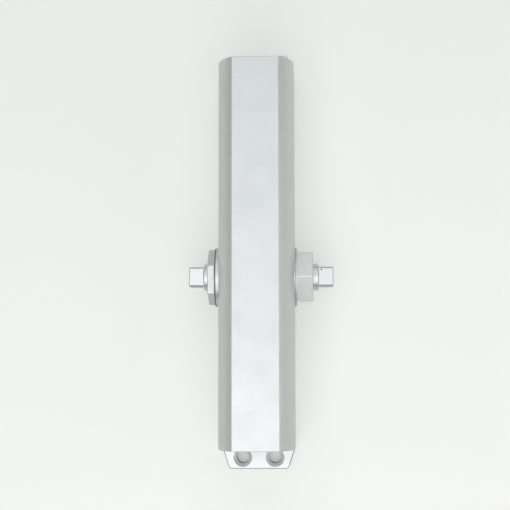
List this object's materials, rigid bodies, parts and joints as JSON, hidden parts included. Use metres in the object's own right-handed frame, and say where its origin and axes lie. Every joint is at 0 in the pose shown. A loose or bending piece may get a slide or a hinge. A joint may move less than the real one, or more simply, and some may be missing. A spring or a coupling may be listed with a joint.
{
  "type": "hydraulic door closer",
  "caption": "Surface-mounted rack-and-pinion hydraulic door closer body with a square-ended spindle through both sides.",
  "frame": {"origin": "on the flat mounting face, straight under the spindle axis and midway between the body's two sides", "axes": "+X across the body along the spindle, +Y along the body from the pressure end to the spring end, +Z from the mounting face to the cover face"},
  "size_m": [0.0832, 0.2482, 0.06],
  "materials": {
    "body_paint": "cast aluminium under a fine silver-white metallic coat",
    "plated_steel": "zinc-plated turned steel",
    "shaft_steel": "ground and plated alloy steel",
    "plug_steel": "turned steel",
    "piston_iron": "machined, honed outside",
    "bearing_steel": "hardened and ground",
    "spring_steel": "oil-tempered wire",
    "seal_rubber": "matt nitrile",
    "gasket_fibre": "matt, pressed flat",
    "valve_brass": "turned",
    "clip_wire": "spring wire"
  },
  "bodies": {
    "housing": {"housing": "body_paint", "spring_end_plug": "plug_steel", "pressure_end_plug": "plug_steel", "spring_end_o_ring": "seal_rubber", "pressure_end_o_ring": "seal_rubber", "return_spring": "spring_steel", "spring_seat": "plug_steel", "valve_clips": "clip_wire", "left_bearing_cap": "plated_steel", "left_cap_gasket": "gasket_fibre", "left_bearing_shell": "bearing_steel", "left_shaft_seal": "seal_rubber", "left_garter_spring": "spring_steel", "left_thrust_washer": "plug_steel", "right_bearing_cap": "plated_steel", "right_cap_gasket": "gasket_fibre", "right_bearing_shell": "bearing_steel", "right_shaft_seal": "seal_rubber", "right_garter_spring": "spring_steel", "right_thrust_washer": "plug_steel"},
    "pinion_shaft": {"pinion_shaft": "shaft_steel"},
    "piston": {"piston": "piston_iron", "check_ball_retainer": "plug_steel", "relief_seat_screw": "plug_steel", "relief_spring": "spring_steel"},
    "left_needle_rollers": {"left_needle_rollers": "bearing_steel"},
    "right_needle_rollers": {"right_needle_rollers": "bearing_steel"},
    "check_ball": {"check_ball": "bearing_steel"},
    "relief_ball": {"relief_ball": "bearing_steel"},
    "sweep_valve_carrier": {"sweep_valve_o_ring": "seal_rubber"},
    "sweep_valve_screw": {"sweep_valve_screw": "valve_brass"},
    "latch_valve_carrier": {"latch_valve_o_ring": "seal_rubber"},
    "latch_valve_screw": {"latch_valve_screw": "valve_brass"}
  },
  "joints": [
    {"name": "pinion_turn", "type": "hinge", "parent": "housing", "child": "pinion_shaft", "pos_m": [0, 0, 0.028], "axis": [1, 0, 0], "range_deg": [0, 180], "stiffness_Nm_per_rad": 4.3},
    {"name": "piston_slide", "type": "slide", "parent": "housing", "child": "piston", "axis": [0, 1, 0], "range_m": [0, 0.03142], "deforming": ["return_spring"]},
    {"name": "left_needles_turn", "type": "hinge", "parent": "housing", "child": "left_needle_rollers", "pos_m": [0, 0, 0.028], "axis": [1, 0, 0], "range_deg": [0, 80]},
    {"name": "right_needles_turn", "type": "hinge", "parent": "housing", "child": "right_needle_rollers", "pos_m": [0, 0, 0.028], "axis": [1, 0, 0], "range_deg": [0, 80]},
    {"name": "check_ball_lift", "type": "slide", "parent": "piston", "child": "check_ball", "axis": [0, -1, 0], "range_m": [0, 0.001]},
    {"name": "relief_ball_lift", "type": "slide", "parent": "piston", "child": "relief_ball", "axis": [0, 1, 0], "range_m": [0, 0.0008], "stiffness_N_per_m": 6000, "deforming": ["relief_spring"]},
    {"name": "sweep_valve_feed", "type": "slide", "parent": "housing", "child": "sweep_valve_carrier", "axis": [0, 1, 0], "range_m": [-0.00075, 0.00075]},
    {"name": "sweep_valve_turn", "type": "hinge", "parent": "sweep_valve_carrier", "child": "sweep_valve_screw", "pos_m": [-0.0075, -0.0945, 0.053], "axis": [0, 1, 0], "range_deg": [-361, 361]},
    {"name": "latch_valve_feed", "type": "slide", "parent": "housing", "child": "latch_valve_carrier", "axis": [0, 1, 0], "range_m": [-0.00075, 0.00075]},
    {"name": "latch_valve_turn", "type": "hinge", "parent": "latch_valve_carrier", "child": "latch_valve_screw", "pos_m": [0.0075, -0.0945, 0.053], "axis": [0, 1, 0], "range_deg": [-361, 361]}
  ],
  "couplings": [
    {"joint": "piston_slide", "follows": "pinion_turn", "m_per_rad": 0.01},
    {"joint": "left_needles_turn", "follows": "pinion_turn", "ratio": 0.44286},
    {"joint": "right_needles_turn", "follows": "pinion_turn", "ratio": 0.44286},
    {"joint": "sweep_valve_turn", "follows": "sweep_valve_feed", "rad_per_m": 8377.6},
    {"joint": "latch_valve_turn", "follows": "latch_valve_feed", "rad_per_m": 8377.6}
  ]
}
